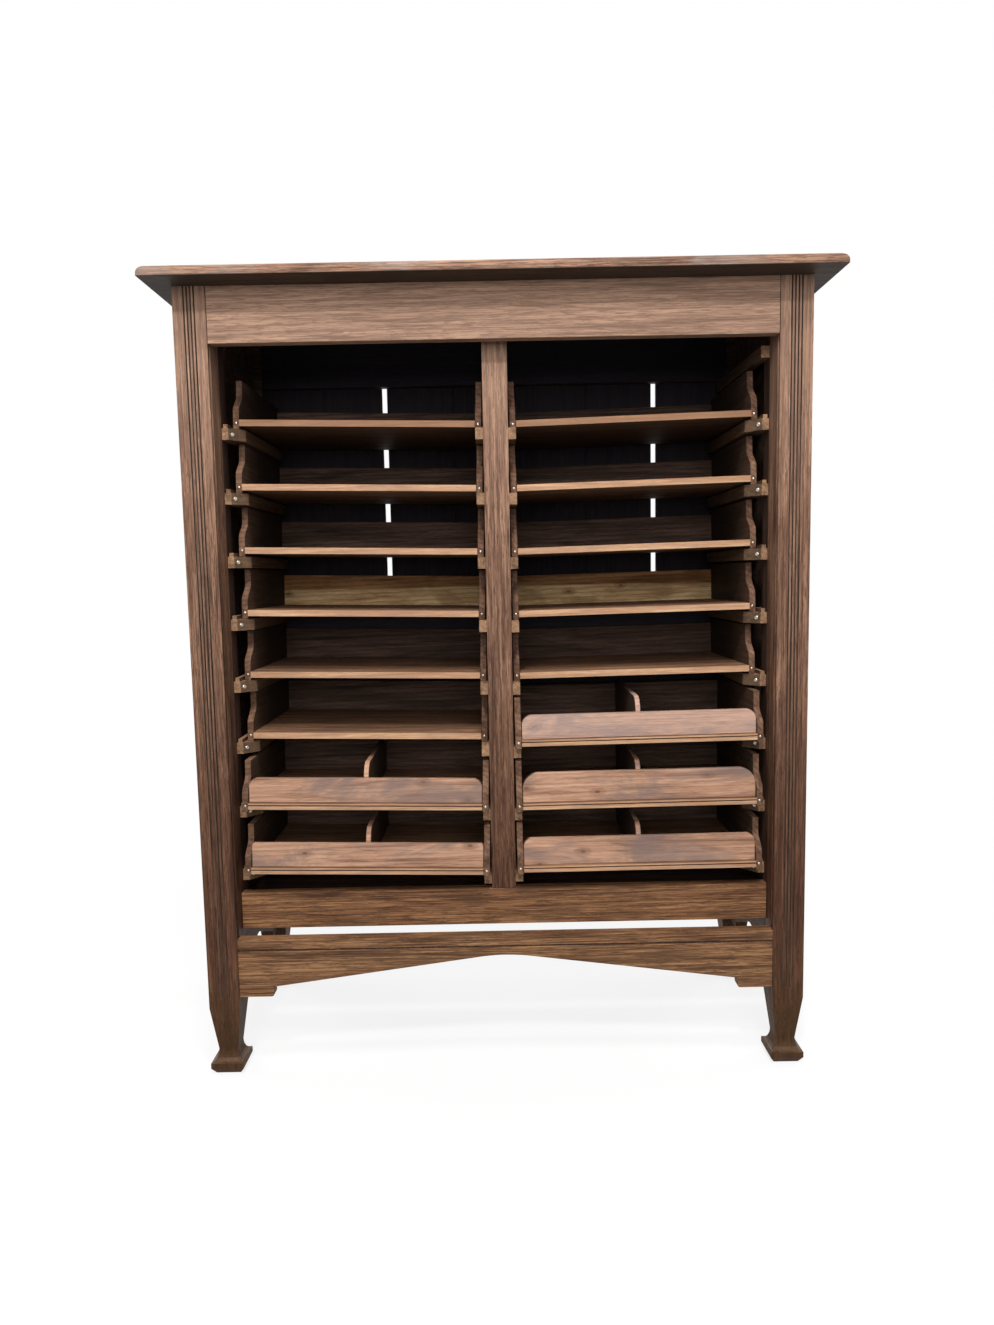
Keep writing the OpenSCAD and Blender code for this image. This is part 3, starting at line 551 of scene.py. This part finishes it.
def worn_steel():
    """Mild steel screws and pins, turned and rubbed bright: small glints with brown tarnish."""
    made, tree, shader = new_material("Worn steel, turned")
    place = node(tree, "TexCoord")["Object"]
    tarnish = grain(tree, place, "Z", 0.0, cell_mm=(1.5, 1.5))
    colour = node(tree, "ValToRGB", {"Fac": tarnish}, stops=[(0.35, "#8e8373"), (0.65, "#d9d2c6")])
    tree.links.new(colour["Color"], shader.inputs["Base Color"])
    shader.inputs["Metallic"].default_value = 1.0
    shader.inputs["Roughness"].default_value = 0.35
    return made


def eased(source, width):
    """A copy of a solid's mesh with its flat faces merged and its arrises rounded off."""
    mesh = bmesh.new()
    mesh.from_mesh(source.data)
    bmesh.ops.remove_doubles(mesh, verts=mesh.verts, dist=MERGE_DIST)
    bmesh.ops.dissolve_limit(mesh, angle_limit=FLAT_ANGLE, verts=mesh.verts, edges=mesh.edges)
    arrises = [e for e in mesh.edges
               if len(e.link_faces) == 2 and e.calc_face_angle(0.0) > CORNER_ANGLE]
    bmesh.ops.bevel(mesh, geom=arrises, offset=width, segments=2, profile=0.5, affect="EDGES",
                    clamp_overlap=True, material=EDGE_WOOD)
    bmesh.ops.recalc_face_normals(mesh, faces=mesh.faces)
    return mesh


def finish_mesh(mesh, name):
    """Turns a bmesh into an object with smooth curves and crisp corners."""
    data = bpy.data.meshes.new(name)
    mesh.to_mesh(data)
    mesh.free()
    for face in data.polygons:
        face.use_smooth = True
    data.set_sharp_from_angle(angle=SHARP_ANGLE)
    made = bpy.data.objects.new(name, data)
    bpy.context.scene.collection.objects.link(made)
    weigh = made.modifiers.new("Even shading", "WEIGHTED_NORMAL")
    weigh.keep_sharp = True
    return made


def dress(piece, looks, body):
    """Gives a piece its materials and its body."""
    piece.data.materials.clear()
    for look in looks:
        piece.data.materials.append(MATERIALS[look])
    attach(piece, body)


def board(cad_node, width, main, edge=None, *more):
    """Replaces a solid by its eased copy in a wood, with another wood on its edges if one is named.

    More woods can follow, for the faces that set_faces picks.
    """
    piece = finish_mesh(eased(NODES[cad_node], width), f"{cad_node}_wood")
    dress(piece, (main, edge or main, *more), BODY_OF[cad_node])
    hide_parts(cad_node)
    return piece


def set_faces(piece, index, test):
    """Sets a material on the faces of a piece whose centre and normal pass a test."""
    for face in piece.data.polygons:
        if test(face.center, face.normal):
            face.material_index = index


def cut_upright(piece, x):
    """Cuts a piece's faces along an upright plane, so that each side can get its own wood."""
    mesh = bmesh.new()
    mesh.from_mesh(piece.data)
    bmesh.ops.bisect_plane(mesh, geom=[*mesh.verts, *mesh.edges, *mesh.faces],
                           plane_co=(x, 0, 0), plane_no=(1, 0, 0))
    mesh.to_mesh(piece.data)
    mesh.free()


def looks_in(centre, normal):
    """Whether a face of the cabinet's shell looks into the bays, and so gets painted shade."""
    toward_middle = -normal.x if centre.x > 0 else normal.x
    at_the_back = centre.y > 0 and abs(centre.x) < PANEL_INNER_X
    looks_forward = normal.y < -FACING and at_the_back
    return centre.z > FRAME_LOW_Z and (toward_middle > FACING or looks_forward)


def wear_post(post, cad_node):
    """Puts the dark wax in a front post's grooves, and rubs their arrises and the pad's top pale.

    That pale wood is partly a painted highlight.
    """
    low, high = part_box(cad_node)
    middle, front = (low.x + high.x) / 2, low.y + PAD_STEP
    half = REEDING_W / 2

    def in_groove(centre, normal):
        return (abs(centre.x - middle) < half and centre.z > REED_END_Z
                and REEDING_ARRIS < centre.y - front < GROOVE_DEPTH)

    def on_arris(centre, normal):
        return (abs(centre.x - middle) < half + ARRIS_REACH
                and SKIN < centre.y - front < REEDING_ARRIS)

    def on_pad(centre, normal):
        return centre.z < PAD_TOP_Z and normal.z > PAD_SLANT

    set_faces(post, INSET_WOOD, in_groove)
    set_faces(post, RUBBED_HIGHLIT_WOOD, on_arris)
    set_faces(post, RUBBED_HIGHLIT_WOOD, on_pad)


def blacken_bead(apron):
    """Puts the dark wax on the walls of the apron's bead line."""
    low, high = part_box("front_apron")

    def in_bead(centre, normal):
        return (abs(centre.z - high.z + BEAD_DROP) < BEAD_HALF_W
                and BEAD_ARRIS < centre.y - low.y < GROOVE_DEPTH)

    set_faces(apron, INSET_WOOD, in_bead)


def blacken_lip(floor, cad_node):
    """Puts the dark wax in the groove along a fronted tray's floor, which leans with its tray."""
    low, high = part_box(cad_node)
    points = [v.co for v in NODES[cad_node].data.vertices]
    left, right = (min(p.z for p in points if abs(p.x - x) < NEAR_END) for x in (low.x, high.x))

    def in_groove(centre, normal):
        under = left + (right - left) * (centre.x - low.x) / (high.x - low.x)
        return (LIP_ARRIS < centre.y - low.y < GROOVE_DEPTH
                and LIP_GROOVE[0] < centre.z - under < LIP_GROOVE[1])

    set_faces(floor, INSET_WOOD, in_groove)


def blacken_joints(rail):
    """Puts dark wax on the arrises where a rail meets the posts."""
    joint_x = PAD_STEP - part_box("front_left_post")[1].x

    def at_post(centre, normal):
        return abs(abs(centre.x) - joint_x) < JOINT_HALF_W

    set_faces(rail, INSET_WOOD, at_post)


def set_back(walls, cad_node):
    """Puts the back's own wood on the board between a tray's two side boards."""
    low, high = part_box(cad_node)
    middle = (low.y + high.y) / 2
    inset = SIDE_BOARD_T + BACK_CLEAR

    def on_back(centre, normal):
        return centre.y > middle and low.x + inset < centre.x < high.x - inset

    set_faces(walls, INSET_WOOD, on_back)


def in_order(mesh):
    """The same mesh with its points and faces in a fixed order, as Blender's balls vary in it."""
    points = sorted(mesh.verts, key=lambda point: point.co[:])
    number = {point: index for index, point in enumerate(points)}
    loops = []
    for face in mesh.faces:
        loop = [number[point] for point in face.verts]
        first = loop.index(min(loop))
        loops.append(loop[first:] + loop[:first])
    ordered = bmesh.new()
    made = [ordered.verts.new(point.co) for point in points]
    for loop in sorted(loops):
        ordered.faces.new([made[index] for index in loop])
    mesh.free()
    return ordered


def tray_pins(tray, radius):
    """Domed pin heads on the front edges of a tray's two side boards."""
    name = f"{tray}_walls"
    low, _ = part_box(name)
    front = [v.co for v in NODES[name].data.vertices if v.co.y < low.y + NEAR_FRONT]
    # The lower outer corners on the left and on the right
    corners = ((-1, max(front, key=lambda co: -co.x - co.z)),
               (1, max(front, key=lambda co: co.x - co.z)))
    flat = Matrix.Diagonal((1, PIN_FLATNESS, 1, 1))
    forward = Matrix.Rotation(math.pi / 2, 4, "X")
    mesh = bmesh.new()
    for side, corner in corners:
        centre = Vector((corner.x - side * SIDE_BOARD_T / 2, low.y, corner.z + PIN_RISE))
        bmesh.ops.create_uvsphere(mesh, u_segments=14, v_segments=8, radius=radius,
                                  matrix=Matrix.Translation(centre) @ flat @ forward)
    pins = finish_mesh(in_order(mesh), f"{tray}_pins")
    dress(pins, ("steel",), BODY_OF[name])


def area_lamp(name, energy, width, height, place, target):
    """A lamp with a rectangular face that points at a target."""
    light = bpy.data.lights.new(name, "AREA")
    light.shape, light.size, light.size_y, light.energy = "RECTANGLE", width, height, energy
    lamp = bpy.data.objects.new(name, light)
    lamp.location = place
    lamp.rotation_euler = (target - place).to_track_quat("-Z", "Y").to_euler()
    bpy.context.scene.collection.objects.link(lamp)


def camera_place(down_deg, yaw_deg, roll_deg, place):
    """A camera that looks along +Y, is turned down, and is rolled about its own axis."""
    upright = Matrix.Rotation(math.radians(90 - down_deg), 4, "X")
    turn = Matrix.Rotation(math.radians(yaw_deg), 4, "Z")
    roll = Matrix.Rotation(math.radians(roll_deg), 4, "Z")
    return Matrix.Translation(place) @ turn @ upright @ roll


# The photograph's camera
CAMERA_PLACE = camera_place(down_deg=5.656, yaw_deg=-0.065, roll_deg=-1.091,
                            place=Vector((-7.2, -1774.7, 933.3)) * MM)


def pale_floor():
    """Matt white paper floor, which the camera sees white with the object's soft shadow on it.

    Other rays see a darker floor, so that the cabinet's underside and inside stay as dark as
    photographed. Away from the cabinet the paper fades into the white backdrop.
    """
    made, tree, shader = new_material("Matt white paper floor")
    seen = node(tree, "LightPath")
    direct = node(tree, "Math", {0: seen["Is Camera Ray"], 1: seen["Is Glossy Ray"]},
                  operation="MAXIMUM")[0]
    paper = node(tree, "Mix", {MIX_SHARE: direct, MIX_UNDER: linear("#7c7c7a"),
                               MIX_OVER: linear("#f6f6f5")},
                 data_type="RGBA", blend_type="MIX")[MIX_COLOUR]
    tree.links.new(paper, shader.inputs["Base Color"])
    shader.inputs["Roughness"].default_value = 0.9
    glow = node(tree, "Emission", {"Color": WHITE, "Strength": 1.0})
    away = node(tree, "VectorMath", {0: node(tree, "TexCoord")["Object"]}, operation="LENGTH")
    faded = node(tree, "MapRange", between(away["Value"], *FLOOR_FADE),
                 interpolation_type="SMOOTHSTEP")["Result"]
    rest = node(tree, "Math", {0: faded, 1: 1 - FLOOR_GLOW}, operation="MULTIPLY")[0]
    share = node(tree, "Math", {0: rest, 1: FLOOR_GLOW}, operation="ADD")[0]
    share = node(tree, "Math", {0: direct, 1: share}, operation="MULTIPLY")[0]
    blend = node(tree, "MixShader", {"Fac": share, 1: shader.outputs[0], 2: glow[0]})
    tree.links.new(blend[0], tree.nodes["Material Output"].inputs["Surface"])
    return made


def pale_world(strength):
    """Plain light from all round that the camera and glossy surfaces see as white."""
    made = bpy.data.worlds.new("Plain studio light")
    made.use_nodes = True
    tree = made.node_tree
    light = tree.nodes["Background"]
    light.inputs["Color"].default_value = linear("#f4f5f8")
    light.inputs["Strength"].default_value = strength
    white = node(tree, "Background", {"Color": WHITE, "Strength": 1.0})
    seen = node(tree, "LightPath")
    mirrored = node(tree, "Math", {0: seen["Is Glossy Ray"], 1: seen["Is Transmission Ray"]},
                    operation="MAXIMUM")[0]
    direct = node(tree, "Math", {0: seen["Is Camera Ray"], 1: mirrored}, operation="MAXIMUM")[0]
    blend = node(tree, "MixShader", {"Fac": direct, 1: light.outputs[0], 2: white[0]})
    tree.links.new(blend[0], tree.nodes["World Output"].inputs["Surface"])
    return made


class CABINET_OT_frame(bpy.types.Operator):
    """Front frame: top board, posts, rails, apron and stiles"""

    bl_idname = "cabinet.frame"
    bl_label = "Oak frame"

    def execute(self, context):
        edge = context.scene.cabinet_wear.frame_edge
        board("top_board", edge, "oak_top")
        for name, main, width, arris in (("top_rail", "oak_across", edge, None),
                                         ("lower_rail", "oak_apron", edge, None),
                                         ("front_apron", "oak_apron", edge * MOST, "oak_rubbed_highlit")):
            rail = board(name, width, main, arris, "groove")
            blacken_joints(rail)
            if name == "front_apron":
                blacken_bead(rail)
        cut_x = PANEL_INNER_X + IN_PANEL_GROOVE
        for side, x in (("left", -cut_x), ("right", cut_x)):
            name = f"front_{side}_post"
            post = board(name, edge * FINE, "oak_upright", None, "groove", "oak_rubbed_highlit")
            wear_post(post, name)
            rear = board(f"rear_{side}_post", edge * HALF, "oak_upright", None, "inner")
            cut_upright(rear, x)
            # Faces that look into the bays get the inner wood, dark with painted shade
            set_faces(rear, INSET_WOOD, looks_in)
        for name in ("centre_stile", "rear_centre_stile"):
            board(name, edge, "oak_upright")
        return {"FINISHED"}


class CABINET_OT_sides(bpy.types.Operator):
    """Side rails and panels, back, bottom and the strips inside"""

    bl_idname = "cabinet.sides"
    bl_label = "Sides, back and bottom"

    def execute(self, context):
        edge = context.scene.cabinet_wear.frame_edge
        for side in BAYS:
            for name, main in (("side_rails", "oak_deep"), ("side_panel", "oak_upright")):
                piece = board(f"{side}_{name}", edge * MOST, main, None, "inner")
                # Faces that look into the bays get the inner wood, dark with painted shade
                set_faces(piece, INSET_WOOD, looks_in)
        for name, width, main in (("back_rails", edge, "back_rail"),
                                  ("upper_back_boards", edge * FINE, "back_board"),
                                  ("lower_back_boards", edge * FINE, "back_board"),
                                  ("bottom_board", edge * MOST, "inner"),
                                  ("bottom_bearers", edge * MOST, "inner"),
                                  ("carrier_battens", edge * MOST, "batten")):
            board(name, width, main)
        return {"FINISHED"}


class CABINET_OT_runners(bpy.types.Operator):
    """Runners of both bays and their screws"""

    bl_idname = "cabinet.runners"
    bl_label = "Runners and screws"

    def execute(self, context):
        for side in BAYS:
            board(f"{side}_bay_runners", context.scene.cabinet_wear.tray_edge, "runner", "rubbed")
        screws = finish_mesh(eased(NODES["runner_screws"], SCREW_EDGE), "runner_screws_steel")
        dress(screws, ("steel", "steel"), "carcass")
        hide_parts("runner_screws")
        return {"FINISHED"}


class CABINET_OT_trays(bpy.types.Operator):
    """Sixteen trays: floors, sides and backs, front boards and pins"""

    bl_idname = "cabinet.trays"
    bl_label = "Trays"

    def execute(self, context):
        wear = context.scene.cabinet_wear
        for tray, fronted in TRAYS:
            name = f"{tray}_floor"
            floor = board(name, wear.tray_edge * HALF, "tray_floor", "rubbed", "groove")
            if fronted:
                blacken_lip(floor, name)
            name = f"{tray}_walls"
            back = "tray_pale" if tray in PALE_BACKS else "tray_back"
            walls = board(name, wear.tray_edge, "tray_side", "handled", back)
            set_back(walls, name)
            tray_pins(tray, wear.pin_radius)
            if fronted:
                board(f"{tray}_front", wear.tray_edge, "front_board", "rubbed")
        return {"FINISHED"}


class CABINET_OT_stage(bpy.types.Operator):
    """Floor, backdrop, lamps and camera"""

    bl_idname = "cabinet.stage"
    bl_label = "Stage"

    def execute(self, context):
        stage, scene = context.scene.cabinet_stage, context.scene
        floor = bpy.data.meshes.new("studio_floor")
        corners = [(x * FLOOR_HALF, y * FLOOR_HALF, 0)
                   for x, y in ((-1, -1), (1, -1), (1, 1), (-1, 1))]
        floor.from_pydata(corners, [], [(0, 1, 2, 3)])
        floor_object = bpy.data.objects.new("studio_floor", floor)
        scene.collection.objects.link(floor_object)
        floor.materials.append(pale_floor())

        scene.world = pale_world(stage.fill)
        for name, setting, width, height, place, target in LAMPS:
            area_lamp(name, getattr(stage, setting), width, height, Vector(place), Vector(target))

        lens = bpy.data.cameras.new("camera")
        lens.sensor_width, lens.sensor_fit = SENSOR_MM, "HORIZONTAL"
        lens.lens = stage.focal
        camera = bpy.data.objects.new("camera", lens)
        camera.matrix_world = CAMERA_PLACE
        scene.collection.objects.link(camera)
        scene.camera = camera
        scene.view_settings.view_transform = "Standard"
        return {"FINISHED"}


class CABINET_PT_panel(bpy.types.Panel):
    """Lists the cabinet's settings and steps"""

    bl_label = "Tray cabinet"
    bl_idname = "CABINET_PT_panel"
    bl_space_type = "VIEW_3D"
    bl_region_type = "UI"
    bl_category = "Tray cabinet"

    def draw(self, context):
        for group in GROUPS:
            settings = getattr(context.scene, group)
            for key in settings.__annotations__:
                self.layout.prop(settings, key)
        for operator in OPERATORS:
            self.layout.operator(operator.bl_idname)


OPERATORS = (CABINET_OT_frame, CABINET_OT_sides, CABINET_OT_runners, CABINET_OT_trays,
             CABINET_OT_stage)
GROUPS = {"cabinet_finish": CABINET_PG_finish, "cabinet_wear": CABINET_PG_wear,
          "cabinet_stage": CABINET_PG_stage}
MATERIALS = {}


def register():
    """Adds the settings, the steps and the panel."""
    for cls in (*GROUPS.values(), *OPERATORS, CABINET_PT_panel):
        bpy.utils.register_class(cls)
    for key, cls in GROUPS.items():
        setattr(bpy.types.Scene, key, PointerProperty(type=cls))


def unregister():
    """Takes the settings, the steps and the panel away."""
    for key in GROUPS:
        delattr(bpy.types.Scene, key)
    for cls in (CABINET_PT_panel, *reversed(OPERATORS), *reversed(tuple(GROUPS.values()))):
        bpy.utils.unregister_class(cls)


def main():
    """Runs every step in order."""
    register()
    MATERIALS.update(make_woods(bpy.context.scene.cabinet_finish), steel=worn_steel())
    bpy.ops.cabinet.frame()
    bpy.ops.cabinet.sides()
    bpy.ops.cabinet.runners()
    bpy.ops.cabinet.trays()
    bpy.ops.cabinet.stage()
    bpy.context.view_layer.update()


if __name__ == "__main__":
    main()
